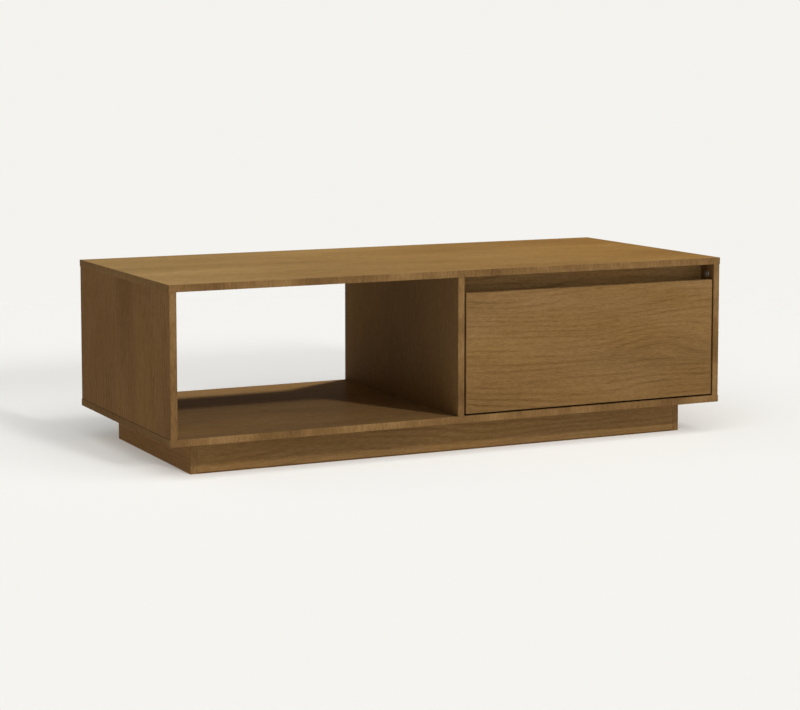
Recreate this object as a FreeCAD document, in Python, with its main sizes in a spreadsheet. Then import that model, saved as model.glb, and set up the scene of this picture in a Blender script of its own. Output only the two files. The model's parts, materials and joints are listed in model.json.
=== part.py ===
import FreeCAD
import Part
import Sketcher
import math
import os
from types import SimpleNamespace

# Low coffee table of laminated board. The left half is a niche that is open front and back, the right half
# holds one drawer on telescopic ball slides, and the box stands on a plinth that is set back on all sides.
# X runs to the right along the front, Y to the back and Z up, in millimetres. The origin is on the floor,
# under the middle of the table.

SIZES = {
    # the whole table
    "table_width": 1300,
    "table_depth": 575,
    "table_height": 395,
    "end_overhang": 1,
    "plinth_height": 70,
    "plinth_front_setback": 62,
    "plinth_side_setback": 65,
    "plinth_back_setback": 60,
    # laminated board and the bands on its cut edges
    "board": 15,
    "band": 1,
    "band_round": 0.8,
    # drawer bay
    "finger_gap": 34,
    "drawer_gap": 4,
    "pull_rail_setback": 50,
    "pull_rail_height": 60,
    "rail_clearance": 19,
    "back_panel_setback": 2,
    # drawer box and its bottom, which slides into grooves
    "drawer_box_lift": 12,
    "drawer_rear_space": 91,
    "bottom_board": 3,
    "groove_depth": 6,
    "groove_lift": 12,
    "groove_play": 0.2,
    # plinth corner blocks
    "block_leg": 60,
    "block_lift": 20,
    # cam locks and their bolts
    "cam_diameter": 15,
    "cam_setback": 24,
    "cam_floor": 2.5,
    "cam_below_face": 0.2,
    "bolt_thread_diameter": 5,
    "bolt_shank_diameter": 7,
    "bolt_neck_diameter": 4,
    "bolt_neck": 6,
    "bolt_head": 4,
    "bolt_bore": 8,
    # dowels, and what a blind hole leaves of the board
    "dowel_diameter": 8,
    "dowel_end_depth": 20,
    "dowel_end_play": 0.5,
    "blind_floor": 4,
    "fastener_play": 0.1,
    # places of the fittings along the board edges
    "cam_edge_distance": 28,
    "dowel_step": 64,
    "back_dowel_lift": 50,
    "rail_upper_dowel_drop": 16,
    "rail_lower_dowel_drop": 44,
    "drawer_cam_lift": 45,
    "plinth_dowel_lift": 20,
    # screws
    "screw_diameter": 3.6,
    "slide_screw_length": 12,
    "box_screw_length": 45,
    "box_screw_head": 7,
    "box_screw_head_height": 2.2,
    "block_screw_bite": 10,
    # telescopic slides
    "slide_width": 12.7,
    "slide_height": 45,
    "slide_setback": 2,
    "slide_steel": 1.2,
    "slide_bend": 1.6,
    "slide_lip": 2.3,
    "cabinet_lip_setback": 3.2,
    "middle_lip_setback": 2,
    "ball_diameter": 3.2,
    "running_gap": 0.3,
    "cage_strip": 0.8,
    # how far a cut runs past the face it leaves
    "overrun": 1,
}

CAGE_LENGTH_SHARE = 0.48
BALL_PLACE_SHARES = (0.06, 0.5, 0.94)
SLIDE_SCREW_SHARES = (0.07, 0.46, 0.93)
BLOCK_SCREW_SHARE = 0.3
BOX_SCREW_SHARES = (0.22, 0.78)
HEAD_CROWN_SHARES = (0.62, 0.45)
# A cut that takes less than this share of its nominal volume has gone the wrong way.
LEAST_CUT_SHARE = 0.3
# Small turned pieces and the holes that take them have few sides, and the same ones, so that they still fit.
FASTENER_SIDES = 6
CAM_SIDES = 12
BALL_SIDES = 8
BALL_BANDS = 4

doc = FreeCAD.newDocument("coffee_table")


class Size:
    """A length of the sheet, or a sum of such lengths: its formula in the document and its value now."""

    def __init__(self, formula, value):
        self.formula = formula
        self.value = value

    def __add__(self, other):
        other = sized(other)
        return Size(f"({self.formula} + {other.formula})", self.value + other.value)

    def __sub__(self, other):
        other = sized(other)
        return Size(f"({self.formula} - {other.formula})", self.value - other.value)

    def __mul__(self, factor):
        return Size(f"({self.formula} * {factor})", self.value * factor)

    def __truediv__(self, factor):
        return Size(f"({self.formula} / {factor})", self.value / factor)

    def __neg__(self):
        return Size(f"(-1 * {self.formula})", -self.value)

    __radd__ = __add__
    __rmul__ = __mul__


def sized(number):
    if isinstance(number, Size):
        return number
    return Size(str(number), number)


def fill_sheet():
    """The driving dimensions, one row each, and a namespace of them as sizes."""
    sheet = doc.addObject("Spreadsheet::Sheet", "Sizes")
    for row, (name, value) in enumerate(SIZES.items(), 1):
        sheet.set(f"A{row}", name)
        sheet.set(f"B{row}", str(value))
        sheet.setAlias(f"B{row}", name)
    doc.recompute()
    return SimpleNamespace(**{name: Size(f"Sizes.{name}", value) for name, value in SIZES.items()})


s = fill_sheet()
NONE = sized(0)


def bind(item, path, size):
    item.setExpression(path, size.formula)


def place(item, point, turn=FreeCAD.Rotation()):
    item.Placement = FreeCAD.Placement(FreeCAD.Vector(*(p.value for p in point)), turn)
    for axis, size in zip("xyz", point):
        bind(item, f"Placement.Base.{axis}", size)


def step(point, direction, distance):
    return tuple(p + distance * d if d else p for p, d in zip(point, direction))


def turn_to(z_direction, x_direction=None):
    """The turn that carries a piece's own Z, and its X where that matters, to the given directions."""
    z_axis = FreeCAD.Vector(*z_direction)
    if x_direction is None:
        return FreeCAD.Rotation(FreeCAD.Vector(0, 0, 1), z_axis)
    x_axis = FreeCAD.Vector(*x_direction)
    return FreeCAD.Rotation(x_axis, z_axis.cross(x_axis), z_axis, "ZXY")


# Sketches and features. A sketch lies across one axis: 0 is X, 1 is Y and 2 is Z.

PLANES = ("YZ_Plane", "XZ_Plane", "XY_Plane")
PLANE_NORMALS = (1, -1, 1)
PLANE_AXES = ((1, 2), (0, 2), (0, 1))
ORIGIN = (-1, 1)
START, END = 1, 2


def new_body(label):
    body = doc.addObject("PartDesign::Body", label)
    body.Label = label
    return body


def sketch_on(body, axis, height=NONE):
    """An empty sketch on the plane that crosses the given axis at the given height."""
    plane = next(p for p in body.Origin.OriginFeatures if p.Role == PLANES[axis])
    sketch = body.newObject("Sketcher::SketchObject", body.Label + "_sketch")
    sketch.AttachmentSupport = [(plane, "")]
    sketch.MapMode = "FlatFace"
    bind(sketch, "AttachmentOffset.Base.z", height * PLANE_NORMALS[axis])
    return sketch


def heading(here, there):
    """The unit step, along the sketch's axes, from one corner to a neighbour."""
    return [(b.value > a.value) - (b.value < a.value) for a, b in zip(here, there)]


def outline_ends(corners):
    """The points where the stretches of an outline meet, each with the arc that starts there."""
    ends = []
    for number, corner in enumerate(corners):
        if len(corner) == 2:
            ends.append((corner, None))
            continue
        x, y, radius = corner
        before = heading((x, y), corners[number - 1][:2])
        after = heading((x, y), corners[(number + 1) % len(corners)][:2])
        centre = [c + radius * b + radius * a for c, b, a in zip((x, y), before, after)]
        turn = before[1] * after[0] - before[0] * after[1]
        ends.append((tuple(c + radius * b for c, b in zip((x, y), before)), (centre, radius, turn)))
        ends.append((tuple(c + radius * a for c, a in zip((x, y), after)), None))
    return ends


def flat_point(x, y):
    return FreeCAD.Vector(x.value, y.value, 0)


def draw_outline(sketch, corners):
    """A closed outline through corners (x, y) or, where sides along the axes round over, (x, y, radius)."""
    ends = outline_ends(corners)
    shapes, joints, sizes = [], [], []
    for number, (here, arc) in enumerate(ends):
        a = flat_point(*here)
        b = flat_point(*ends[(number + 1) % len(ends)][0])
        joint = (START, END)
        if arc is None:
            shapes.append(Part.LineSegment(a, b))
        else:
            centre, radius, turn = arc
            middle = flat_point(*centre)
            angles = [math.atan2(p.y - middle.y, p.x - middle.x) for p in (a, b)]
            if turn < 0:
                angles.reverse()
                joint = (END, START)
            circle = Part.Circle(middle, FreeCAD.Vector(0, 0, 1), radius.value)
            shapes.append(Part.ArcOfCircle(circle, *angles))
            sizes.append((("Radius", number), radius))
        joints.append(joint)
        sizes.append((("DistanceX", *ORIGIN, number, joint[0]), here[0]))
        sizes.append((("DistanceY", *ORIGIN, number, joint[0]), here[1]))
    sketch.addGeometry(shapes)
    meets = []
    for number, joint in enumerate(joints):
        following = (number + 1) % len(joints)
        meets.append(Sketcher.Constraint("Coincident", number, joint[1], following, joints[following][0]))
    bound = [Sketcher.Constraint(*words, size.value) for words, size in sizes]
    sketch.addConstraint(meets + bound)
    for number, (_, size) in enumerate(sizes, len(meets)):
        bind(sketch, f"Constraints[{number}]", size)


def pad(body, sketch, length, against_normal=False):
    feature = body.newObject("PartDesign::Pad", body.Label + "_pad")
    feature.Profile = sketch
    feature.Reversed = against_normal
    bind(feature, "Length", length)
    doc.recompute()


def check_cut(label, before, after, nominal):
    if before - after < LEAST_CUT_SHARE * nominal:
        raise ValueError(f"a cut in {label} missed the solid")


def pocket(body, sketch, depth, along_normal):
    """Cuts the sketch to a depth, and checks that the cut went into the body."""
    before = body.Shape.Volume
    feature = body.newObject("PartDesign::Pocket", body.Label + "_pocket")
    feature.Profile = sketch
    feature.Reversed = along_normal
    bind(feature, "Length", depth)
    doc.recompute()
    flat_area = Part.Face(sketch.Shape.Wires).Area
    check_cut(body.Label, before, body.Shape.Volume, flat_area * depth.value)


def rectangle(x0, y0, x1, y1):
    return [(x0, y0), (x1, y0), (x1, y1), (x0, y1)]


def turned(label, outline, sides):
    """A turned piece about Z with few sides, from corners (radius, height) that start and end on the axis."""
    turns = [2 * math.pi * n / sides for n in range(sides)]
    rings = []
    for radius, height in outline:
        spokes = [(radius.value * math.cos(a), radius.value * math.sin(a)) for a in turns]
        rings.append([FreeCAD.Vector(x, y, height.value) for x, y in spokes])
    faces = []
    for low, high in zip(rings, rings[1:]):
        for n in range(sides):
            corners = []
            for point in (low[n - 1], low[n], high[n], high[n - 1]):
                if not any(point.isEqual(other, Part.Precision.confusion()) for other in corners):
                    corners.append(point)
            faces.append(Part.Face(Part.makePolygon(corners + corners[:1])))
    solid = Part.Solid(Part.Shell(faces)).removeSplitter()
    if solid.Volume < 0:
        solid.reverse()
    piece = doc.addObject("Part::Feature", label)
    piece.Shape = solid
    return piece


def prism(label, diameter, length, sides, point, direction):
    """A straight rod with few sides, from a point along a direction."""
    rod = doc.addObject("Part::Prism", label)
    rod.Polygon = sides
    bind(rod, "Circumradius", diameter / 2)
    bind(rod, "Height", length)
    place(rod, point, turn_to(direction))
    return rod


def cut(label, base, tools):
    """The base less the tools, with a check that the tools reached the base."""
    tool = tools[0]
    if len(tools) > 1:
        tool = doc.addObject("Part::MultiFuse", label + "_tools")
        tool.Shapes = tools
    result = doc.addObject("Part::Cut", label)
    result.Base = base
    result.Tool = tool
    result.Label = label
    doc.recompute()
    check_cut(label, base.Shape.Volume, result.Shape.Volume, tool.Shape.Volume)
    return result


# Nodes: what is written out, by label

nodes = {}


def node(item):
    nodes[item.Label] = item
    return item


def group(label, pieces):
    """Separate solids that share one node."""
    joined = doc.addObject("Part::Compound", label)
    joined.Label = label
    joined.Links = pieces
    return node(joined)


def copies(label, master, places):
    """One piece placed many times: each place is a point and a turn."""
    links = []
    for point, turn in places:
        link = doc.addObject("App::Link", label + "_place")
        link.LinkedObject = master
        place(link, point, turn)
        links.append(link)
    return links


# Boards, their faces and their joints

FACES = {
    "left": (0, False),
    "right": (0, True),
    "near": (1, False),
    "far": (1, True),
    "under": (2, False),
    "upper": (2, True),
}


def inward(face):
    axis, high = FACES[face]
    return tuple((-1 if high else 1) if axis == n else 0 for n in range(3))


def outward(face):
    return tuple(-d for d in inward(face))


class Board:
    """A rectangular board between two corners, with the grooves and holes that its joints ask for."""

    def __init__(self, label, low, high):
        self.label = label
        self.low = low
        self.high = high
        self.size = [b - a for a, b in zip(low, high)]
        self.holes = []
        self.blank = new_body(label + "_blank")
        place(self.blank, low)
        sketch = sketch_on(self.blank, 2)
        draw_outline(sketch, rectangle(NONE, NONE, self.size[0], self.size[1]))
        pad(self.blank, sketch, self.size[2])

    def middle(self, axis):
        return (self.low[axis] + self.high[axis]) / 2

    def groove(self, face, low, high, depth):
        """A groove in one face, between two points of the table that lie in that face."""
        axis, is_high = FACES[face]
        x0, y0, x1, y1 = (point[n] - self.low[n] for point in (low, high) for n in PLANE_AXES[axis])
        sketch = sketch_on(self.blank, axis, self.size[axis] if is_high else NONE)
        draw_outline(sketch, rectangle(x0, y0, x1, y1))
        along_normal = is_high if PLANE_NORMALS[axis] < 0 else not is_high
        pocket(self.blank, sketch, depth, along_normal)

    def drill(self, face, point, diameter, depth, sides=FASTENER_SIDES):
        """A blind hole in one face, at a point of the table that lies in that face."""
        into = inward(face)
        start = step(point, into, -s.overrun)
        hole = prism(self.label + "_hole", diameter, depth + s.overrun, sides, start, into)
        self.holes.append(hole)

    def finish(self):
        if self.holes:
            return node(cut(self.label, self.blank, self.holes))
        self.blank.Label = self.label
        return node(self.blank)


def edge_band(label, low, high, along, face):
    """A band on a cut edge, with its two outer edges rounded over; it runs along one axis."""
    body = new_body(label)
    place(body, low)
    across = PLANE_AXES[along]
    x1, y1 = (high[n] - low[n] for n in across)
    axis, is_high = FACES[face]
    outline = []
    for x, y in rectangle(NONE, NONE, x1, y1):
        spot = (x, y)[across.index(axis)]
        outer = (spot.value > 0) == is_high
        outline.append((x, y, s.band_round) if outer else (x, y))
    sketch = sketch_on(body, along)
    draw_outline(sketch, outline)
    pad(body, sketch, high[along] - low[along], PLANE_NORMALS[along] < 0)
    return body


bolt_depth = s.board - s.blind_floor
cam_depth = s.board - s.cam_floor
dowel_places = {"carcass": [], "plinth": []}
cam_places = {"carcass": [], "drawer": []}
bolt_places = {"carcass": [], "drawer": []}


def cam_joint(group_name, face_board, face, end_board, end, cam_face, points):
    """Bolts stand in the face of one board and enter the end of the other, where the cams draw them in."""
    bore = inward(end)
    out = outward(cam_face)
    against_bore = outward(end)
    for point in points:
        cam_centre = step(point, bore, s.cam_setback)
        cam_mouth = step(cam_centre, out, s.board / 2)
        cam_base = step(cam_mouth, out, -cam_depth)
        face_board.drill(face, point, s.bolt_thread_diameter + 2 * s.fastener_play, bolt_depth)
        end_board.drill(end, point, s.bolt_bore, s.cam_setback)
        end_board.drill(cam_face, cam_mouth, s.cam_diameter + 2 * s.fastener_play, cam_depth, CAM_SIDES)
        bolt_places[group_name].append((point, turn_to(bore)))
        cam_places[group_name].append((cam_base, turn_to(out, against_bore)))


def dowel_joint(group_name, face_board, face, end_board, end, points):
    """Dowels stand in the face of one board and enter the end of the other."""
    along = inward(end)
    hole = s.dowel_diameter + 2 * s.fastener_play
    for point in points:
        face_board.drill(face, point, hole, bolt_depth)
        end_board.drill(end, point, hole, s.dowel_end_depth)
        start = step(point, along, s.dowel_end_play - bolt_depth)
        dowel_places[group_name].append((start, turn_to(along)))


# Levels and planes that the pieces share

half_width = s.table_width / 2
front = -s.table_depth / 2
back = s.table_depth / 2
floor = NONE
under_top = s.table_height - s.board
under_box = s.plinth_height
shelf = s.plinth_height + s.board
left_outer = -half_width + s.end_overhang
right_inner = half_width - s.end_overhang - s.board
partition_left = -s.board / 2
bay_left = s.board / 2
bay_right = right_inner


# Carcass boards

def banded_slab(label, low_z):
    """The top or bottom panel: a core with bands on its four edges."""
    high_z = low_z + s.board
    left = -half_width
    right = half_width
    core_low = (left + s.band, front + s.band, low_z)
    core_high = (right - s.band, back - s.band, high_z)
    core = Board(label, core_low, core_high)
    near, far = core_low[1], core_high[1]
    group(label + "_edge_bands", [
        edge_band(label + "_front_band", (left, front, low_z), (right, near, high_z), 0, "near"),
        edge_band(label + "_back_band", (left, far, low_z), (right, back, high_z), 0, "far"),
        edge_band(label + "_left_band", (left, near, low_z), (core_low[0], far, high_z), 1, "left"),
        edge_band(label + "_right_band", (core_high[0], near, low_z), (right, far, high_z), 1, "right"),
    ])
    return core


def banded_upright(label, low_x, ends, levels):
    """A board that stands on edge from front to back, and the bands on its front and back edges."""
    high_x = low_x + s.board
    near, far = ends
    low_z, high_z = levels
    core = Board(label, (low_x, near + s.band, low_z), (high_x, far - s.band, high_z))
    bands = [
        edge_band(label + "_front_band", (low_x, near, low_z), (high_x, near + s.band, high_z), 2, "near"),
        edge_band(label + "_back_band", (low_x, far - s.band, low_z), (high_x, far, high_z), 2, "far"),
    ]
    return core, bands


def wall(label, low_x):
    core, bands = banded_upright(label, low_x, (front, back), (shelf, under_top))
    group(label + "_edge_bands", bands)
    return core


top_panel = banded_slab("top_panel", under_top)
bottom_panel = banded_slab("bottom_panel", under_box)
left_side = wall("left_side_panel", left_outer)
partition = wall("centre_partition", partition_left)
right_side = wall("right_side_panel", right_inner)

back_panel_far = back - s.back_panel_setback
back_panel = Board(
    "drawer_bay_back_panel",
    (bay_left, back_panel_far - s.board, shelf),
    (bay_right, back_panel_far, under_top),
)

rail_near = front + s.pull_rail_setback
rail_far = rail_near + s.board
rail_low = under_top - s.pull_rail_height
rail_core_low = rail_low + s.band
pull_rail = Board("drawer_pull_rail", (bay_left, rail_near, rail_core_low), (bay_right, rail_far, under_top))
rail_band = edge_band(
    "pull_rail_lower_band", (bay_left, rail_near, rail_low), (bay_right, rail_far, rail_core_low), 0, "under"
)
group("pull_rail_edge_band", [rail_band])


def join_walls():
    """Each wall is drawn to the top and bottom panels by cams, and kept in line by dowels."""
    cam_rows = (front + s.cam_edge_distance, back - s.cam_edge_distance)
    dowel_rows = (cam_rows[0] + s.dowel_step, cam_rows[1] - s.dowel_step)
    for piece, cam_face in ((left_side, "right"), (partition, "right"), (right_side, "left")):
        x = piece.middle(0)
        for panel, face, end, z in (
            (top_panel, "under", "upper", under_top),
            (bottom_panel, "upper", "under", shelf),
        ):
            cam_joint("carcass", panel, face, piece, end, cam_face, [(x, y, z) for y in cam_rows])
            dowel_joint("carcass", panel, face, piece, end, [(x, y, z) for y in dowel_rows])


def join_bay():
    """The back panel and the pull rail stand on dowels between the partition and the right side."""
    ends = ((partition, "right", "left", bay_left), (right_side, "left", "right", bay_right))
    back_heights = (shelf + s.back_dowel_lift, under_top - s.back_dowel_lift)
    rail_heights = (under_top - s.rail_upper_dowel_drop, under_top - s.rail_lower_dowel_drop)
    for piece, face, end, x in ends:
        for board, heights in ((back_panel, back_heights), (pull_rail, rail_heights)):
            points = [(x, board.middle(1), z) for z in heights]
            dowel_joint("carcass", piece, face, board, end, points)


# Plinth: long boards between the side boards, a cross rail, and blocks in the corners

plinth_left = -half_width + s.plinth_side_setback
plinth_right = half_width - s.plinth_side_setback
plinth_near = front + s.plinth_front_setback
plinth_far = back - s.plinth_back_setback
inner_left = plinth_left + s.board
inner_right = plinth_right - s.board
inner_near = plinth_near + s.board
inner_far = plinth_far - s.board


def plinth_end(label, low_x):
    return banded_upright(label, low_x, (plinth_near, plinth_far), (floor, under_box))


plinth_left_board, left_bands = plinth_end("plinth_left_board", plinth_left)
plinth_right_board, right_bands = plinth_end("plinth_right_board", inner_right)
group("plinth_edge_bands", left_bands + right_bands)
plinth_front_board = Board(
    "plinth_front_board", (inner_left, plinth_near, floor), (inner_right, inner_near, under_box)
)
plinth_back_board = Board(
    "plinth_back_board", (inner_left, inner_far, floor), (inner_right, plinth_far, under_box)
)
cross_rail = Board(
    "plinth_cross_rail", (-s.board / 2, inner_near, floor), (s.board / 2, inner_far, under_box)
)


def join_plinth():
    heights = (s.plinth_dowel_lift, under_box - s.plinth_dowel_lift)
    for long_board in (plinth_front_board, plinth_back_board):
        y = long_board.middle(1)
        left_points = [(inner_left, y, z) for z in heights]
        right_points = [(inner_right, y, z) for z in heights]
        dowel_joint("plinth", plinth_left_board, "right", long_board, "left", left_points)
        dowel_joint("plinth", plinth_right_board, "left", long_board, "right", right_points)
    middle = under_box / 2
    dowel_joint("plinth", plinth_front_board, "far", cross_rail, "near", [(NONE, inner_near, middle)])
    dowel_joint("plinth", plinth_back_board, "near", cross_rail, "far", [(NONE, inner_far, middle)])


UPWARD = (0, 0, 1)
screw_hole = s.screw_diameter + 2 * s.fastener_play
block_height = s.plinth_height - s.block_lift
block_screw_places = []


def corner_block(label, x, y, x_sign, y_sign):
    """A three-sided block glued into a corner of the plinth and screwed up into the bottom panel."""
    body = new_body(label + "_blank")
    place(body, (x, y, s.block_lift))
    sketch = sketch_on(body, 2)
    leg_x = s.block_leg * x_sign
    leg_y = s.block_leg * y_sign
    draw_outline(sketch, [(NONE, NONE), (leg_x, NONE), (NONE, leg_y)])
    pad(body, sketch, block_height)
    screw_x = x + leg_x * BLOCK_SCREW_SHARE
    screw_y = y + leg_y * BLOCK_SCREW_SHARE
    start = (screw_x, screw_y, s.block_lift - s.overrun)
    hole = prism(label + "_hole", screw_hole, block_height + 2 * s.overrun, FASTENER_SIDES, start, UPWARD)
    bite = s.block_screw_bite + s.fastener_play
    bottom_panel.drill("under", (screw_x, screw_y, under_box), screw_hole, bite)
    block_screw_places.append(((screw_x, screw_y, s.block_lift), turn_to(UPWARD)))
    return cut(label, body, [hole])


blocks = []
for side, x, x_sign in (("left", inner_left, 1), ("right", inner_right, -1)):
    for end, y, y_sign in (("front", inner_near, 1), ("back", inner_far, -1)):
        blocks.append(corner_block(f"{side}_{end}_block", x, y, x_sign, y_sign))
group("plinth_corner_blocks", blocks)


# Drawer: an inset front and a box whose bottom slides into grooves

front_left = bay_left + s.drawer_gap
front_right = bay_right - s.drawer_gap
front_low = shelf + s.drawer_gap
front_high = under_top - s.finger_gap
front_far = front + s.board
box_left = bay_left + s.slide_width
box_right = bay_right - s.slide_width
box_inner_left = box_left + s.board
box_inner_right = box_right - s.board
box_low = front_low + s.drawer_box_lift
box_high = rail_low - s.rail_clearance
box_core_high = box_high - s.band
box_far = back_panel_far - s.board - s.drawer_rear_space
back_near = box_far - s.board
bottom_low = box_low + s.groove_lift
bottom_high = bottom_low + s.bottom_board


def banded_front():
    """The drawer front: a core with bands on its four edges."""
    core_low = (front_left + s.band, front, front_low + s.band)
    core_high = (front_right - s.band, front_far, front_high - s.band)
    core = Board("drawer_front", core_low, core_high)
    left, right = front_left, front_right
    far = front_far
    core_left, core_right = core_low[0], core_high[0]
    low, high = core_low[2], core_high[2]
    group("drawer_front_edge_bands", [
        edge_band("front_lower_band", (left, front, front_low), (right, far, low), 0, "under"),
        edge_band("front_upper_band", (left, front, high), (right, far, front_high), 0, "upper"),
        edge_band("front_left_band", (left, front, low), (core_left, far, high), 2, "left"),
        edge_band("front_right_band", (core_right, front, low), (right, far, high), 2, "right"),
    ])
    return core


drawer_front = banded_front()
drawer_left = Board(
    "drawer_left_side", (box_left, front_far, box_low), (box_inner_left, box_far, box_core_high)
)
drawer_right = Board(
    "drawer_right_side", (box_inner_right, front_far, box_low), (box_right, box_far, box_core_high)
)
drawer_back = Board(
    "drawer_back", (box_inner_left, back_near, bottom_high), (box_inner_right, box_far, box_core_high)
)

def rim_band(label, left, near, right, along):
    """The band on the upper edge of one board of the drawer box, which ends at the box's far end."""
    return edge_band(label, (left, near, box_core_high), (right, box_far, box_high), along, "upper")


group("drawer_box_edge_bands", [
    rim_band("box_left_band", box_left, front_far, box_inner_left, 1),
    rim_band("box_right_band", box_inner_right, front_far, box_right, 1),
    rim_band("box_back_band", box_inner_left, back_near, box_inner_right, 0),
])

bottom_left = box_inner_left - s.groove_depth
bottom_right = box_inner_right + s.groove_depth
bottom_near = front_far - s.groove_depth
drawer_bottom = Board(
    "drawer_bottom", (bottom_left, bottom_near, bottom_low), (bottom_right, box_far, bottom_high)
)
box_screw_places = []


def join_drawer():
    """Cams hold the sides to the front, grooves take the bottom, and screws hold the back."""
    groove_high = bottom_high + s.groove_play
    groove_depth = s.groove_depth + s.groove_play
    cam_heights = (box_low + s.drawer_cam_lift, box_high - s.drawer_cam_lift)
    for piece, face, inner_x in (
        (drawer_left, "right", box_inner_left),
        (drawer_right, "left", box_inner_right),
    ):
        points = [(piece.middle(0), front_far, z) for z in cam_heights]
        cam_joint("drawer", drawer_front, "far", piece, "near", face, points)
        low = (inner_x, front_far, bottom_low)
        piece.groove(face, low, (inner_x, box_far, groove_high), groove_depth)
    drawer_front.groove(
        "far",
        (bottom_left - s.groove_play, front_far, bottom_low),
        (bottom_right + s.groove_play, front_far, groove_high),
        groove_depth,
    )
    back_height = box_core_high - bottom_high
    bite = s.box_screw_length - s.board + s.fastener_play
    for piece, outer, x in ((drawer_left, "left", box_left), (drawer_right, "right", box_right)):
        into = inward(outer)
        for share in BOX_SCREW_SHARES:
            spot = (x, drawer_back.middle(1), bottom_high + back_height * share)
            piece.drill(outer, spot, screw_hole, s.board + s.overrun)
            drawer_back.drill(outer, step(spot, into, s.board), screw_hole, bite)
            box_screw_places.append((spot, turn_to(into)))


join_walls()
join_bay()
join_plinth()
join_drawer()


# Telescopic slides: a cabinet member, a middle member and a drawer member nested in each other, with balls
# in cages between them. Sections are drawn from the cabinet wall (0) towards the drawer (slide width).

slide_near = front_far + s.slide_setback
slide_length = box_far - slide_near
slide_level = (box_low + box_high) / 2
ball_room = s.ball_diameter + 2 * s.running_gap
cabinet_half = s.slide_height / 2
outer_row = cabinet_half - s.slide_steel - ball_room / 2
middle_half = cabinet_half - s.slide_steel - ball_room
inner_row = middle_half - s.slide_steel - ball_room / 2
drawer_half = middle_half - s.slide_steel - ball_room
outer_cage_at = s.slide_steel + s.running_gap
middle_at = outer_cage_at + s.cage_strip + s.running_gap
inner_cage_at = middle_at + s.slide_steel + s.running_gap
drawer_tip = inner_cage_at + s.cage_strip + 2 * s.running_gap
cabinet_reach = s.slide_width - s.cabinet_lip_setback
middle_reach = s.slide_width - s.middle_lip_setback
outer_cage_reach = cabinet_reach - s.slide_steel - s.running_gap
inner_cage_reach = middle_reach - s.slide_steel - s.running_gap
drawer_web = s.slide_width - s.slide_steel
inner_bend = s.slide_bend - s.slide_steel
cage_length = slide_length * CAGE_LENGTH_SHARE
cage_near = slide_near + (slide_length - cage_length) / 2


def both_halves(upper, hand):
    """A section from the corners of its upper half, mirrored below and turned to the slide's hand."""
    whole = upper + [(x, -y, *rest) for x, y, *rest in reversed(upper)]
    return [(x * hand, y, *rest) for x, y, *rest in whole]


def lipped_channel(at, half, reach, hand):
    """A channel open towards the drawer, with lips that keep the balls in."""
    steel = s.slide_steel
    return both_halves([
        (at + steel, half - steel, inner_bend),
        (reach - steel, half - steel),
        (reach - steel, half - s.slide_lip),
        (reach, half - s.slide_lip),
        (reach, half, s.slide_bend),
        (at, half, s.slide_bend),
    ], hand)


def drawer_channel(hand):
    """A channel open towards the cabinet, with its back against the drawer side."""
    return both_halves([
        (drawer_web, drawer_half - s.slide_steel, inner_bend),
        (drawer_tip, drawer_half - s.slide_steel),
        (drawer_tip, drawer_half),
        (s.slide_width, drawer_half, s.slide_bend),
    ], hand)


def cage_channel(at, row, reach, hand):
    """A strip folded over at both edges, whose folds carry the balls."""
    strip = s.cage_strip
    return both_halves([
        (at + strip, row - strip / 2),
        (reach, row - strip / 2),
        (reach, row + strip / 2),
        (at, row + strip / 2),
    ], hand)


def drawn_member(label, wall_x, near, length, outline):
    """A section drawn out along Y."""
    body = new_body(label)
    place(body, (wall_x, near, slide_level))
    sketch = sketch_on(body, 1)
    draw_outline(sketch, outline)
    pad(body, sketch, length, True)
    return body


def caged_balls(label, wall_x, hand, at, row, reach):
    """One cage with a window for each ball, and the balls that sit in them."""
    blank = drawn_member(label + "_blank", wall_x, cage_near, cage_length, cage_channel(at, row, reach, hand))
    x = wall_x + (at + s.cage_strip + reach) / 2 * hand
    window = (s.ball_diameter + s.running_gap) / math.cos(math.pi / BALL_SIDES)
    places = [cage_near + cage_length * share for share in BALL_PLACE_SHARES]
    windows = []
    ball_places = []
    for y in places:
        for z in (slide_level - row, slide_level + row):
            start = (x, y, z - s.cage_strip)
            windows.append(prism(label + "_window", window, 2 * s.cage_strip, BALL_SIDES, start, UPWARD))
            ball_places.append(((x, y, z), turn_to(UPWARD)))
    node(cut(label + "_ball_cage", blank, windows))
    group(label + "_balls", copies(label + "_ball", ball, ball_places))


def steel_ball():
    radius = s.ball_diameter / 2
    tilts = [math.pi * (n / BALL_BANDS - 1 / 2) for n in range(BALL_BANDS + 1)]
    return turned("steel_ball", [(radius * math.cos(a), radius * math.sin(a)) for a in tilts], BALL_SIDES)


def countersunk(label, play, overrun, length):
    """A screw whose head is flush with the slide's steel, or with play and overrun the hole that takes it."""
    shank = s.screw_diameter / 2 + play
    head = shank + s.slide_steel
    top = [(NONE, -overrun), (head, -overrun)]
    if overrun.value:
        top.append((head, NONE))
    return turned(label, top + [(shank, s.slide_steel), (shank, length), (NONE, length)], FASTENER_SIDES)


ball = steel_ball()
slide_screw = countersunk("slide_screw", NONE, NONE, s.slide_screw_length)
slide_hole = countersunk("slide_hole", s.fastener_play, s.overrun, s.slide_steel + s.overrun)
cabinet_screw_places = []
drawer_screw_places = []


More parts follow.
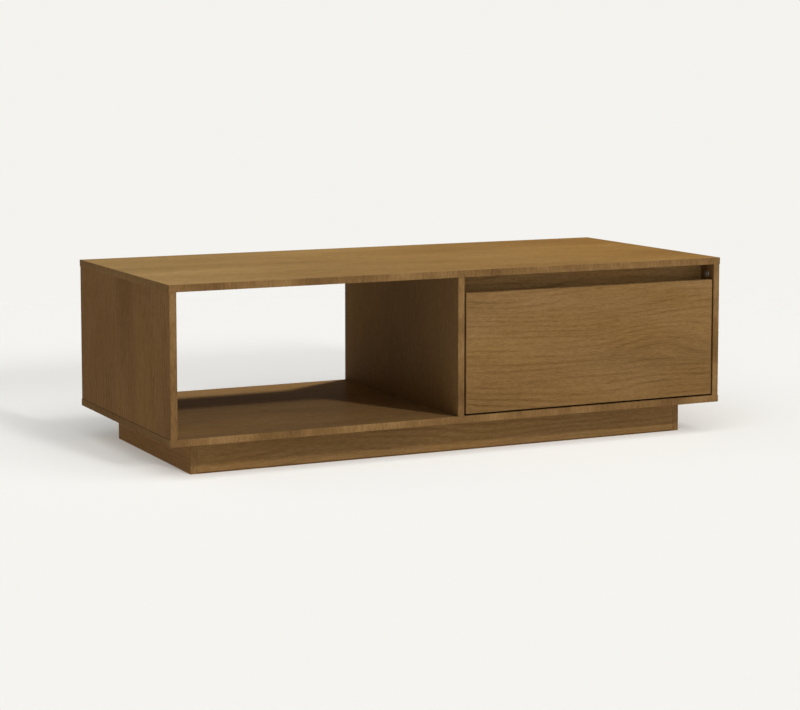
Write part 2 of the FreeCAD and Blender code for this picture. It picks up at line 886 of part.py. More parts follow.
def slide(side, wall_x, hand, bay_wall, wall_face, box_side, box_face):
    """One telescopic slide between a wall of the bay and a side of the drawer."""
    name = side + "_slide"
    cabinet_section = lipped_channel(NONE, cabinet_half, cabinet_reach, hand)
    cabinet = drawn_member(name + "_cabinet_blank", wall_x, slide_near, slide_length, cabinet_section)
    middle_section = lipped_channel(middle_at, middle_half, middle_reach, hand)
    node(drawn_member(name + "_middle_member", wall_x, slide_near, slide_length, middle_section))
    runner = drawn_member(name + "_drawer_blank", wall_x, slide_near, slide_length, drawer_channel(hand))
    caged_balls(name + "_outer", wall_x, hand, outer_cage_at, outer_row, outer_cage_reach)
    caged_balls(name + "_inner", wall_x, hand, inner_cage_at, inner_row, inner_cage_reach)
    to_wall = turn_to((-hand, 0, 0))
    to_box = turn_to((hand, 0, 0))
    box_x = wall_x + s.slide_width * hand
    bite = s.slide_screw_length - s.slide_steel + s.fastener_play
    wall_screws = []
    box_screws = []
    for share in SLIDE_SCREW_SHARES:
        y = slide_near + slide_length * share
        bay_wall.drill(wall_face, (wall_x, y, slide_level), screw_hole, bite)
        box_side.drill(box_face, (box_x, y, slide_level), screw_hole, bite)
        wall_screws.append(((wall_x + s.slide_steel * hand, y, slide_level), to_wall))
        box_screws.append(((wall_x + drawer_web * hand, y, slide_level), to_box))
    node(cut(name + "_cabinet_member", cabinet, copies(name + "_wall_hole", slide_hole, wall_screws)))
    node(cut(name + "_drawer_member", runner, copies(name + "_box_hole", slide_hole, box_screws)))
    cabinet_screw_places.extend(wall_screws)
    drawer_screw_places.extend(box_screws)


slide("left", bay_left, 1, partition, "right", drawer_left, "left")
slide("right", bay_right, -1, right_side, "left", drawer_right, "right")


# Fasteners: one piece of each kind, placed wherever a joint asked for it

def cam_lock():
    """A round lock whose slot, open on one side, takes the neck and head of a bolt."""
    height = cam_depth - s.cam_below_face
    lock = prism("cam_blank", s.cam_diameter, height, CAM_SIDES, (NONE, NONE, NONE), UPWARD)
    slot = doc.addObject("Part::Box", "cam_slot")
    past_centre = s.bolt_head
    bind(slot, "Length", past_centre + s.cam_diameter / 2)
    bind(slot, "Width", s.bolt_bore)
    bind(slot, "Height", s.bolt_bore)
    place(slot, (-past_centre, -s.bolt_bore / 2, cam_depth - s.board / 2 - s.bolt_bore / 2))
    return cut("cam_lock", lock, [slot])


def cam_bolt():
    """A bolt with a thread for the face board, a shank for the bore, and a necked head for the cam."""
    thread = s.bolt_thread_diameter / 2
    shank = s.bolt_shank_diameter / 2
    neck = s.bolt_neck_diameter / 2
    tip = s.dowel_end_play - bolt_depth
    head_low = s.cam_setback - s.bolt_head / 2
    head_high = head_low + s.bolt_head
    shoulder = head_low - s.bolt_neck
    return turned("cam_bolt", [
        (NONE, tip),
        (thread, tip),
        (thread, NONE),
        (shank, NONE),
        (shank, shoulder),
        (neck, shoulder),
        (neck, head_low),
        (shank, head_low),
        (shank, head_high),
        (NONE, head_high),
    ], FASTENER_SIDES)


def dowel():
    length = bolt_depth + s.dowel_end_depth - 2 * s.dowel_end_play
    return prism("dowel", s.dowel_diameter, length, FASTENER_SIDES, (NONE, NONE, NONE), UPWARD)


def crowned_screw(label, length):
    """A screw with a crowned head that bears on the wood."""
    shank = s.screw_diameter / 2
    head = s.box_screw_head / 2
    height = s.box_screw_head_height
    crown_share, rim_share = HEAD_CROWN_SHARES
    return turned(label, [
        (NONE, -height),
        (head * crown_share, -height),
        (head, -height * rim_share),
        (head, NONE),
        (shank, NONE),
        (shank, length),
        (NONE, length),
    ], FASTENER_SIDES)


lock = cam_lock()
bolt = cam_bolt()
pin = dowel()
box_screw = crowned_screw("box_screw", s.box_screw_length)
block_screw = crowned_screw("block_screw", block_height + s.block_screw_bite)
for name, places in cam_places.items():
    group(name + "_cam_locks", copies(name + "_cam_lock", lock, places))
for name, places in bolt_places.items():
    group(name + "_cam_bolts", copies(name + "_cam_bolt", bolt, places))
for name, places in dowel_places.items():
    group(name + "_dowels", copies(name + "_dowel", pin, places))
group("cabinet_member_screws", copies("cabinet_member_screw", slide_screw, cabinet_screw_places))
group("drawer_member_screws", copies("drawer_member_screw", slide_screw, drawer_screw_places))
group("drawer_back_screws", copies("drawer_back_screw", box_screw, box_screw_places))
group("plinth_block_screws", copies("plinth_block_screw", block_screw, block_screw_places))

for piece in (
    top_panel, bottom_panel, left_side, partition, right_side, back_panel, pull_rail, plinth_left_board,
    plinth_right_board, plinth_front_board, plinth_back_board, cross_rail, drawer_front, drawer_left,
    drawer_right, drawer_back, drawer_bottom,
):
    piece.finish()


def write_nodes():
    doc.recompute()
    for item in doc.Objects:
        if "Invalid" in item.State or "Error" in item.State:
            raise ValueError(f"{item.Label} did not build: {item.State}")
    for label, item in nodes.items():
        if item.Shape.isNull() or not item.Shape.isValid():
            raise ValueError(f"{label} has no valid shape")
    os.makedirs("parts", exist_ok=True)
    for label, item in nodes.items():
        item.Shape.exportStep(f"parts/{label}.step")


write_nodes()
print(len(nodes), "nodes,", sum(len(item.Shape.Solids) for item in nodes.values()), "solids")
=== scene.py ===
import json
import math

import bmesh
import bpy
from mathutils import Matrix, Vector


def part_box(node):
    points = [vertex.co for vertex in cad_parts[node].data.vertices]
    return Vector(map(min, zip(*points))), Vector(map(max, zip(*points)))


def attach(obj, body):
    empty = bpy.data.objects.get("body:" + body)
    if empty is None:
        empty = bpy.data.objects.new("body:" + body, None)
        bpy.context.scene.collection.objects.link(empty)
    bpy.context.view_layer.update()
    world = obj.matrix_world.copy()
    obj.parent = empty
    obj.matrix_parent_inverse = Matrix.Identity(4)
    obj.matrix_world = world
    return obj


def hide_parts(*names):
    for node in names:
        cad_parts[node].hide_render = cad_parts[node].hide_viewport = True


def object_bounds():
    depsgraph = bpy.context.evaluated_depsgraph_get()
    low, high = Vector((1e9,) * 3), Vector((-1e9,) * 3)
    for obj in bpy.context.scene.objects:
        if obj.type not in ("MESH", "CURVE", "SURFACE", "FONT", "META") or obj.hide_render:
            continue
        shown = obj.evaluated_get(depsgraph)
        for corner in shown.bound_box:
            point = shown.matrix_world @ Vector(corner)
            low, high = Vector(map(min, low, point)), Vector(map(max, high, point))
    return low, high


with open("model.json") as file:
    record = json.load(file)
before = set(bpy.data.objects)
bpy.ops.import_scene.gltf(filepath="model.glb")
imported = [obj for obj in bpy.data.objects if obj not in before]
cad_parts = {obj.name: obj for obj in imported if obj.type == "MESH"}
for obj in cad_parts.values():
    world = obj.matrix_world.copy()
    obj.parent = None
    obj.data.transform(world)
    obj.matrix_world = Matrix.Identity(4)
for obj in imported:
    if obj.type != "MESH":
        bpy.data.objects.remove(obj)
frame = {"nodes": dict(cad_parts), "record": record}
cad_low, cad_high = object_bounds()

# A low coffee table in brown wood-pattern laminate. The boards, bands and slides are the frame's own meshes
# with finishes of their own; the round hardware that shows is made here. Metres, X along the front, Z up.

MM = 0.001
AXES = range(3)
X, Y, Z = AXES

# The picture and its camera

PICTURE_WIDTH = 800
FOCAL_PIXELS = 2157.3
SHIFT_PIXELS = -96
SENSOR_WIDTH = 36
CAMERA_PLACE = (-2.0863, -4.2819, 0.8591)
CAMERA_YAW = math.radians(25.935)
CAMERA_PITCH = math.radians(-5.579)

# A lamp's level is what a white face turned straight to it would show, where 1 is white. Then come the way
# that its light travels and how wide it looks from the table, in degrees. The table's lamps leave out the
# floor, and the floor's lamps light nothing else.

TABLE_LAMPS = {
    "key_lamp": (0.45, (-0.35, 0.72, -0.63), 4),
    "back_lamp": (0.98, (-0.62, -0.30, -0.95), 7),
    "top_lamp": (0.20, (0.0, 0.0, -1.0), 110),
    "front_lamp": (0.34, (0.0, 1.0, 0.0), 110),
    "right_lamp": (0.28, (-0.90, 0.30, -0.30), 60),
}
FLOOR_LAMPS = {
    "floor_low_lamp": (0.54, (-0.16, 0.935, -0.31), 8),
    "floor_high_lamp": (0.14, (-0.12, 0.74, -0.66), 16),
    "floor_sky_lamp": (0.88, (0.05, 0.75, -0.66), 100),
    "floor_left_lamp": (0.20, (0.72, -0.15, -0.68), 80),
}
AMBIENT_LEVEL = 0.02

# The floor is part lit and part glowing: the lit share is larger for the camera, which sees the shadow, than
# for light that bounces to the table. Its colour makes up for the light that it gets in the open, so that it
# shows as the backdrop there. Far from the table it fades out.

FLOOR_LIGHT = 0.985
FLOOR_BOUNCE_SHARE = 0.3
FLOOR_SHADOW_SHARE = 0.78
FLOOR_SIDES = 96
FLOOR_RADIUS = 12.0
FLOOR_CLEAR_RADIUS = 1.6
FLOOR_FADE_RADIUS = 3.6


def srgb(*levels):
    """A colour written in the usual 0 to 255 levels, as the linear colour that shaders take."""
    shares = [level / 255 for level in levels]
    return tuple(s / 12.92 if s <= 0.04045 else ((s + 0.055) / 1.055) ** 2.4 for s in shares) + (1.0,)


WHITE = (1.0, 1.0, 1.0, 1.0)
BACKDROP = srgb(244, 243, 239)

# Noise runs from 0 to 1 about its middle. The Mix node's sockets for colours are known by number.

NOISE_ROUGHNESS = 0.55
MIDDLE = 0.5
MIX_SHARE = 0
MIX_FIRST = 6
MIX_SECOND = 7
MIX_COLOR = 2


class Flow:
    """What one node hands to the next. Arithmetic on it adds the Math nodes that work it out."""

    def __init__(self, graph, socket):
        self.graph = graph
        self.socket = socket

    def __add__(self, other):
        return self.graph.math("ADD", self, other)

    def __sub__(self, other):
        return self.graph.math("SUBTRACT", self, other)

    def __rsub__(self, other):
        return self.graph.math("SUBTRACT", other, self)

    def __mul__(self, other):
        return self.graph.math("MULTIPLY", self, other)

    def __truediv__(self, other):
        return self.graph.math("DIVIDE", self, other)

    def __pow__(self, other):
        return self.graph.math("POWER", self, other)

    def __neg__(self):
        return self * -1

    __radd__ = __add__
    __rmul__ = __mul__


class Made:
    """A node that has been added, with its outputs by name or number."""

    def __init__(self, graph, node):
        self.graph = graph
        self.node = node

    def __getitem__(self, name):
        return Flow(self.graph, self.node.outputs[name])


class Graph:
    """A node tree, and the one way in which its nodes are added."""

    def __init__(self, tree):
        self.tree = tree
        tree.nodes.clear()

    def node(self, kind, settings=None, inputs=None):
        made = self.tree.nodes.new(kind)
        for name, value in (settings or {}).items():
            if name == "stops":
                self.set_stops(made.color_ramp, value)
            else:
                setattr(made, name, value)
        for name, value in (inputs or {}).items():
            self.feed(made.inputs[name], value)
        return Made(self, made)

    def set_stops(self, ramp, stops):
        while len(ramp.elements) < len(stops):
            ramp.elements.new(1.0)
        for element, (place, color) in zip(ramp.elements, stops):
            element.position = place
            element.color = color

    def feed(self, socket, value):
        """Links a flow to a socket, or several in a list, or sets the socket to a plain value."""
        values = value if isinstance(value, list) else [value]
        for one in values:
            if isinstance(one, Flow):
                self.tree.links.new(one.socket, socket)
            else:
                socket.default_value = one

    def math(self, operation, *values):
        return self.node("ShaderNodeMath", {"operation": operation}, dict(enumerate(values)))["Value"]

    def vector_math(self, operation, *values):
        return self.node("ShaderNodeVectorMath", {"operation": operation}, dict(enumerate(values)))


class Finish(Graph):
    """A material with one surface shader. What is the same all over is set on the shader's own sockets."""

    def __init__(self, name, constants):
        self.material = bpy.data.materials.new(name)
        self.material.use_nodes = True
        super().__init__(self.material.node_tree)
        self.surface = self.node("ShaderNodeBsdfPrincipled", inputs=constants)
        self.node("ShaderNodeOutputMaterial", inputs={"Surface": self.surface["BSDF"]})
        self.place = self.node("ShaderNodeTexCoord")["Object"]

    def show(self, socket, flow):
        self.feed(self.surface.node.inputs[socket], flow)

    def streaks(self, grain, sizes):
        """Noise from 0 to 1 in streaks: their length along the grain, their width across it, and detail."""
        length, width, detail = sizes
        scale = [1 / width] * 3
        scale[grain] = 1 / length
        drawn = self.vector_math("MULTIPLY", self.place, tuple(scale))["Vector"]
        noise = {"Vector": drawn, "Scale": 1.0, "Detail": detail, "Roughness": NOISE_ROUGHNESS}
        return self.node("ShaderNodeTexNoise", inputs=noise)["Fac"]

    def uneven(self, grain, sizes):
        """The same noise about 0."""
        return self.streaks(grain, sizes) - MIDDLE

    def between(self, flow, low, high):
        """The flow stretched so that low becomes 0 and high becomes 1, and kept within them."""
        limits = {"Value": flow, "From Min": low, "From Max": high}
        return self.node("ShaderNodeMapRange", inputs=limits)["Result"]

    def along(self, axis):
        """How far a point lies along an axis."""
        return self.node("ShaderNodeSeparateXYZ", inputs={"Vector": self.place})["XYZ"[axis]]

    def across(self, grain):
        """How far a point lies across the grain: the sum of the two other coordinates."""
        one, other = (axis for axis in AXES if axis != grain)
        return self.along(one) + self.along(other)

    def hump(self, middle, reach, height):
        """A smooth hump: 0 far away and its height in the middle, with its reach along each axis."""
        away = 0.0
        for axis, far in reach.items():
            share = (self.along(axis) - middle[axis]) / far
            away = share * share + away
        return self.math("EXPONENT", -away) * height

    def ramp(self, stops, share):
        return self.node("ShaderNodeValToRGB", {"stops": stops}, {"Fac": share})["Color"]

    def blend(self, share, one, other):
        """A colour between two, by a share from 0 to 1."""
        colors = {MIX_SHARE: share, MIX_FIRST: one, MIX_SECOND: other}
        return self.node("ShaderNodeMix", {"data_type": "RGBA"}, colors)[MIX_COLOR]

    def emboss(self, height, depth, strength):
        """Raises and sinks the surface by a height from 0 to 1, over a depth in metres."""
        bump = {"Height": height, "Distance": depth, "Strength": strength}
        self.show("Normal", self.node("ShaderNodeBump", inputs=bump)["Normal"])


# Finishes

def three_tones(dark, middle, pale):
    """The stops of a ramp from a print's dark tone to its pale one."""
    return (0.0, srgb(*dark)), (MIDDLE, srgb(*middle)), (1.0, srgb(*pale))


OLIVE_TONES = three_tones((89, 67, 37), (126, 100, 61), (155, 128, 84))
# A browner copy of the print for the faces in shade: painted shade colour.
PAINTED_SHADE_TONES = three_tones((90, 62, 35), (127, 93, 57), (156, 119, 79))
LAMINATE_TONES = three_tones((90, 65, 37), (127, 97, 60), (156, 124, 83))
WARM_TONES = three_tones((88, 60, 27), (124, 91, 46), (152, 117, 65))
# Paler copies of the print for the rail, which sits in shade: painted fill light.
RAIL_PAINTED_FILL_TONES = three_tones((118, 86, 50), (167, 130, 82), (200, 162, 110))
RAIL_PAINTED_FILL_WARM_TONES = three_tones((115, 80, 38), (163, 123, 64), (196, 154, 88))
EDGE_TONES = three_tones((74, 51, 29), (121, 91, 55), (160, 128, 84))
PINE_TONES = three_tones((168, 126, 78), (201, 164, 113), (222, 190, 142))
BEECH_TONES = three_tones((172, 130, 92), (205, 168, 126), (224, 192, 154))
HARDBOARD_TONES = three_tones((92, 64, 34), (126, 95, 57), (150, 118, 76))
PORE_COLOR = srgb(84, 56, 28)

# The sizes of streaks are length, width and detail. A share is how much a layer of the print counts, limits
# are the levels of noise where a layer begins and is full, and a relief is a depth and a strength.

SATIN = {"Specular IOR Level": 0.0, "Coat Roughness": 0.35, "Coat Weight": 0.04}
SATIN_ROUGHNESS = 0.62
PORE_ROUGHNESS = 0.15
PORE_LIMITS = (0.57, 0.66)
FIBRE_HEIGHT = 0.3

RING_STEP = 13 * MM
RING_SHARPNESS = 6
RING_DRIFT = 130 * MM
RING_DRIFT_STREAKS = (900 * MM, 220 * MM, 2.0)
RING_SWAY = 16 * MM
RING_SWAY_STREAKS = (220 * MM, 50 * MM, 2.0)
RING_BREAK_STREAKS = (260 * MM, 24 * MM, 2.0)
RING_BREAK_LIMITS = (0.36, 0.62)
LATE_WOOD_SHARE = 0.15
EARLY_WOOD_SHARE = 0.07
FIBRE_STREAKS = (60 * MM, 1.1 * MM, 3.0)
FIBRE_SHARE = 0.5
FIBRE_ROUGHNESS = 0.1
SPECK_STREAKS = (15 * MM, 2.0 * MM, 2.0)
SPECK_SHARE = 0.5
TONE_STREAKS = (500 * MM, 140 * MM, 2.0)
TONE_SHARE = 0.5
WARM_STREAKS = (380 * MM, 130 * MM, 2.0)
WARM_LIMITS = (0.42, 0.7)
WARM_SHARE = 0.5
PORE_STREAKS = (8 * MM, 0.45 * MM, 1.0)
PORE_SHARE = 0.42
FOOT_SHADOW_SHARE = 0.5
PRINT_RELIEF = (0.15 * MM, 0.25)

EDGE_LEVEL = 0.52
EDGE_TICK_STREAKS = (40 * MM, 4 * MM, 3.0)
EDGE_TICK_SHARE = 0.3
EDGE_SPECK_STREAKS = (11 * MM, 1.6 * MM, 2.0)
EDGE_SPECK_SHARE = 0.65
EDGE_SPECK_ROUGHNESS = 0.15
EDGE_FIBRE_STREAKS = (30 * MM, 0.6 * MM, 2.0)
EDGE_FIBRE_SHARE = 0.5
EDGE_TONE_STREAKS = (900 * MM, 96 * MM, 2.0)
EDGE_TONE_SHARE = 1.0
EDGE_PORE_STREAKS = (6 * MM, 0.4 * MM, 1.0)
EDGE_PORE_SHARE = 0.3
EDGE_RELIEF = (0.12 * MM, 0.22)

RAW = {"Specular IOR Level": 0.3}
RAW_ROUGHNESS = 0.7
RAW_FIBRE_STREAKS = (30 * MM, 1.2 * MM, 3.0)
RAW_FIBRE_SHARE = 0.6
RAW_FIBRE_ROUGHNESS = 0.2
RAW_BAND_STREAKS = (200 * MM, 6 * MM, 2.0)
RAW_BAND_SHARE = 0.8
RAW_RELIEF = (0.2 * MM, 0.3)

LINE_STREAKS = (90 * MM, 0.7 * MM, 1.0)
LINE_ROUGHNESS = 0.12
SPOT_STREAKS = (6 * MM, 6 * MM, 3.0)
SPOT_ROUGHNESS = 0.1
METAL_RELIEF = (0.02 * MM, 0.06)


class Sheet:
    """One printed sheet. Its rings may run round a swell, which is a middle, a reach and a height. It may
    turn warmer along an axis from one place to another, or be painted paler by an amount between two
    heights, which is painted light. Its pale offset shifts the whole print lighter or darker per board,
    which is painted light and shade. Its painted_foot_shadow is the height up to which its lower edge is
    darkened, a painted contact shadow."""

    def __init__(self, grain, swell=None, warm=None, painted_light_rise=None, tones=LAMINATE_TONES,
                 warm_tones=WARM_TONES, pale=0.0, contrast=1.0, painted_foot_shadow=None):
        self.grain = grain
        self.swell = swell
        self.warm = warm
        self.painted_light_rise = painted_light_rise
        self.tones = tones
        self.warm_tones = warm_tones
        self.pale = pale
        self.contrast = contrast
        self.painted_foot_shadow = painted_foot_shadow


def wood_laminate(name, sheet):
    """Printed wood under a satin overlay: drifting rings, fibres, specks, pores and slow tones, with the
    painted light and shade that its sheet asks for.
    """
    finish = Finish(name, SATIN)
    grain = sheet.grain
    drift = finish.uneven(grain, RING_DRIFT_STREAKS) * RING_DRIFT
    sway = finish.uneven(grain, RING_SWAY_STREAKS) * RING_SWAY
    ring_place = finish.across(grain) + drift + sway
    if sheet.swell:
        ring_place = ring_place - finish.hump(*sheet.swell)
    wave = finish.math("SINE", ring_place * (2 * math.pi / RING_STEP)) * 0.5 + 0.5
    broken = finish.between(finish.streaks(grain, RING_BREAK_STREAKS), *RING_BREAK_LIMITS)
    late_wood = wave ** RING_SHARPNESS * broken
    early_wood = (1 - wave) ** RING_SHARPNESS * broken
    fibre = finish.uneven(grain, FIBRE_STREAKS)
    specks = finish.uneven(grain, SPECK_STREAKS)
    tone = finish.uneven(grain, TONE_STREAKS)
    change = fibre * FIBRE_SHARE + specks * SPECK_SHARE + tone * TONE_SHARE
    change = change - late_wood * LATE_WOOD_SHARE + early_wood * EARLY_WOOD_SHARE
    # The pale offset is painted light and shade, set per board.
    figure = MIDDLE + sheet.pale + change * sheet.contrast
    # Painted light: the print turns paler toward one height.
    if sheet.painted_light_rise:
        start, end, amount = sheet.painted_light_rise
        figure = figure + (finish.between(finish.along(Z), start, end) - MIDDLE) * amount
    # Painted contact shadow: the lower edge is darkened just above the floor.
    if sheet.painted_foot_shadow:
        figure = figure - finish.between(finish.along(Z), sheet.painted_foot_shadow, sheet.painted_foot_shadow / 2) * FOOT_SHADOW_SHARE
    if sheet.warm:
        axis, start, end = sheet.warm
        warmth = finish.between(finish.along(axis), start, end)
    else:
        warmth = finish.between(finish.streaks(grain, WARM_STREAKS), *WARM_LIMITS) * WARM_SHARE
    color = finish.blend(warmth, finish.ramp(sheet.tones, figure), finish.ramp(sheet.warm_tones, figure))
    pores = finish.between(finish.streaks(grain, PORE_STREAKS), *PORE_LIMITS)
    finish.show("Base Color", finish.blend(pores * PORE_SHARE, color, PORE_COLOR))
    finish.show("Roughness", SATIN_ROUGHNESS + pores * PORE_ROUGHNESS + fibre * FIBRE_ROUGHNESS)
    finish.emboss(fibre * FIBRE_HEIGHT - pores, *PRINT_RELIEF)
    return finish.material


def edge_band(name):
    """The band on a cut edge: the same wood, printed in short ticks that run up and down, and specks."""
    finish = Finish(name, SATIN)
    ticks = finish.uneven(Z, EDGE_TICK_STREAKS)
    specks = finish.uneven(Z, EDGE_SPECK_STREAKS)
    fibre = finish.uneven(Z, EDGE_FIBRE_STREAKS)
    tone = finish.uneven(Y, EDGE_TONE_STREAKS)
    figure = EDGE_LEVEL + ticks * EDGE_TICK_SHARE + specks * EDGE_SPECK_SHARE
    figure = figure + fibre * EDGE_FIBRE_SHARE + tone * EDGE_TONE_SHARE
    pores = finish.between(finish.streaks(Z, EDGE_PORE_STREAKS), *PORE_LIMITS)
    color = finish.ramp(EDGE_TONES, figure)
    finish.show("Base Color", finish.blend(pores * EDGE_PORE_SHARE, color, PORE_COLOR))
    finish.show("Roughness", SATIN_ROUGHNESS + pores * PORE_ROUGHNESS + specks * EDGE_SPECK_ROUGHNESS)
    finish.emboss(fibre * FIBRE_HEIGHT - pores, *EDGE_RELIEF)
    return finish.material


def raw_wood(name, grain, tones):
    """Unfinished wood: plain fibres and faint rings."""
    finish = Finish(name, RAW)
    fibre = finish.uneven(grain, RAW_FIBRE_STREAKS)
    band = finish.uneven(grain, RAW_BAND_STREAKS)
    figure = MIDDLE + fibre * RAW_FIBRE_SHARE + band * RAW_BAND_SHARE
    finish.show("Base Color", finish.ramp(tones, figure))
    finish.show("Roughness", RAW_ROUGHNESS + fibre * RAW_FIBRE_ROUGHNESS)
    finish.emboss(fibre, *RAW_RELIEF)
    return finish.material


def metal(name, color, grain, roughness, mottle):
    """Bare or plated metal: drawing lines along one axis and a mottle of brighter and duller spots."""
    finish = Finish(name, {"Metallic": 1.0})
    lines = finish.uneven(grain, LINE_STREAKS)
    spots = finish.streaks(grain, SPOT_STREAKS)
    darker = tuple(c * (1 - mottle) for c in color[:3]) + (1.0,)
    finish.show("Base Color", finish.blend(spots, darker, color))
    finish.show("Roughness", roughness + lines * LINE_ROUGHNESS + (spots - MIDDLE) * SPOT_ROUGHNESS)
    finish.emboss(lines, *METAL_RELIEF)
    return finish.material


# The rings on the drawer front run round a swell, right of the middle and at half height, and the front is
# painted paler upward, which is painted light. The plinth's front is darkened just above the floor, a
# painted contact shadow.

FRONT_SWELL_PLACE = 0.74
FRONT_SWELL_REACH = {X: 120 * MM, Z: 50 * MM}
FRONT_SWELL_HEIGHT = 30 * MM
FRONT_PAINTED_LIGHT_RISE = 0.17
PLINTH_FOOT_SHADOW_HEIGHT = 4 * MM

front_low, front_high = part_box("drawer_front")
front_middle = (front_low + front_high) / 2
front_middle.x = front_low.x + (front_high.x - front_low.x) * FRONT_SWELL_PLACE

# Each board has its own sheet. Its pale offset, set to how bright that board shows in its light, is painted
# light and shade.
own_sheets = {
    # The drawer front is painted paler upward, which is painted light.
    "drawer_front": wood_laminate("wood_laminate_front", Sheet(
        X, swell=(front_middle, FRONT_SWELL_REACH, FRONT_SWELL_HEIGHT),
        painted_light_rise=(front_low.z, front_high.z, FRONT_PAINTED_LIGHT_RISE), pale=-0.01, contrast=1.2)),
    "top_panel": wood_laminate("wood_laminate_top", Sheet(
        X, warm=(X, cad_low.x, cad_high.x), tones=OLIVE_TONES, pale=0.035, contrast=1.4)),
    "bottom_panel": wood_laminate("wood_laminate_bottom", Sheet(
        X, pale=0.05, contrast=1.4)),
    # The left side faces away from the lamps and takes the browner copy: painted shade colour.
    "left_side_panel": wood_laminate("wood_laminate_left", Sheet(
        Z, tones=PAINTED_SHADE_TONES, contrast=1.3)),
    "centre_partition": wood_laminate("wood_laminate_partition", Sheet(
        Z, pale=0.05, contrast=0.7)),
    # The rail sits in the top's shade, and its paler tones are painted fill light.
    "drawer_pull_rail": wood_laminate("wood_laminate_rail", Sheet(
        X, tones=RAIL_PAINTED_FILL_TONES, warm_tones=RAIL_PAINTED_FILL_WARM_TONES, contrast=1.3)),
    # The plinth's front has a painted contact shadow along its lower edge.
    "plinth_front_board": wood_laminate("wood_laminate_plinth", Sheet(
        X, pale=0.04, contrast=1.2, painted_foot_shadow=PLINTH_FOOT_SHADOW_HEIGHT)),
    # The plinth's left board takes the browner copy, painted shade colour, and is made paler, painted fill
    # light.
    "plinth_left_board": wood_laminate("wood_laminate_plinth_left", Sheet(
        Y, tones=PAINTED_SHADE_TONES, pale=0.08)),
}
laminate_along = [wood_laminate(f"wood_laminate_{'xyz'[axis]}", Sheet(axis)) for axis in AXES]
cast_zinc = metal("cast_zinc", srgb(200, 200, 196), Z, roughness=0.5, mottle=0.2)
plated_steel = metal("plated_steel", srgb(190, 192, 194), Y, roughness=0.40, mottle=0.12)
plated_screw = metal("plated_screw", srgb(186, 186, 182), X, roughness=0.40, mottle=0.15)
polished_steel = metal("polished_steel", srgb(205, 206, 208), Y, roughness=0.14, mottle=0.05)
by_slot = {
    "edge_band": edge_band("edge_banding"),
    "bottom_hardboard": raw_wood("printed_hardboard", X, HARDBOARD_TONES),
    "block_wood": raw_wood("raw_pine", Z, PINE_TONES),
    "dowel_wood": raw_wood("raw_beech", Z, BEECH_TONES),
    "cam_zinc": cast_zinc,
    "zinc_plated_steel": plated_screw,
    "slide_steel": plated_steel,
    "ball_steel": polished_steel,
}


def grain_of(node):
    """Walls are printed upright, and other boards along their length."""
    low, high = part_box(node)
    size = high - low
    if node in ("left_side_panel", "right_side_panel", "centre_partition"):
        return Z
    return max(AXES, key=lambda axis: size[axis])


def dress_frame():
    """Gives each node the finish of its slot, and each board its own sheet or the plain one."""
    for row in frame["record"]["subparts"]:
        node = row["node"]
        finish = by_slot.get(row["material_slot"]) or own_sheets.get(node) or laminate_along[grain_of(node)]
        data = frame["nodes"][node].data
        data.materials.clear()
        data.materials.append(finish)


dress_frame()


# Round hardware, made by node trees that set one shape on many spots

SAME_CORNER = 0.001 * MM
SAME_PLANE = 0.01 * MM

ROUND_SIDES = 40
SHANK_SIDES = 16
CROWN_RINGS = 6
BALL_SUBDIVISIONS = 3
SHARP_ANGLE = math.radians(35)

CAM_RIM_REACH = 0.6 * MM
CAM_RIM_HEIGHT = 0.35 * MM
CAM_SLOT_WIDTH = 1.6 * MM
CAM_SLOT_DEPTH = 2.4 * MM

# The arms of a cross recess are bars with their middle at the top, so half of a bar's depth is sunk. One
# goes a little less deep than the other, so that no two floors coincide.

ARM_DEPTH = 2.0
OTHER_ARM_DEPTH = 1.8

SHANK_OVERLAP = 0.2 * MM
SHANK = {
    "Shank Radius": 1.7 * MM,
    "Slot Length": 3.4 * MM,
    "Slot Width": 0.8 * MM,
}
FLAT_HEAD = {
    **SHANK,
    "Top Radius": 3.15 * MM,
    "Low Radius": 1.75 * MM,
    "Head Height": 1.2 * MM,
    "Lift": 0.05 * MM,
    "Slot Depth": 0.9 * MM,
    "Swell": 0.0,
}
CROWNED_HEAD = {
    **SHANK,
    "Top Radius": 1.9 * MM,
    "Low Radius": 3.3 * MM,
    "Head Height": 2.2 * MM,
    "Lift": 0.0,
    "Slot Depth": 1.4 * MM,
    "Swell": 0.2,
}


def solids_in(node):
    """The corners of each separate solid in a node of the frame."""
    shape = bmesh.new()
    shape.from_mesh(frame["nodes"][node].data)
    bmesh.ops.remove_doubles(shape, verts=shape.verts, dist=SAME_CORNER)
    waiting = set(shape.verts)
    solids = []
    while waiting:
        reached = [waiting.pop()]
        group = []
        while reached:
            corner = reached.pop()
            group.append(corner.co.copy())
            for link in corner.link_edges:
                near = link.other_vert(corner)
                if near in waiting:
                    waiting.remove(near)
                    reached.append(near)
        solids.append(group)
    shape.free()
    return sorted(solids, key=lambda group: tuple(min(group, key=tuple)))


def corners_box(corners):
    low = Vector(min(c[axis] for c in corners) for axis in AXES)
    high = Vector(max(c[axis] for c in corners) for axis in AXES)
    return low, high


def spot_on(middle, axis, place, sign):
    """A spot at a place on the axis through a middle, which faces up or down that axis."""
    point = middle.copy()
    point[axis] = place
    facing = Vector((0, 0, 0))
    facing[axis] = sign
    return point, facing


def screw_spot(corners):
    """The middle of a screw's outer end, which is the wider one, and the way that its head faces."""
    low, high = corners_box(corners)
    axis = max(AXES, key=lambda n: high[n] - low[n])
    middle = (low + high) / 2

    def width(end):
        return max((c - middle).length for c in corners if abs(c[axis] - end) < SAME_PLANE)

    if width(low[axis]) >= width(high[axis]):
        return spot_on(middle, axis, low[axis], -1)
    return spot_on(middle, axis, high[axis], 1)


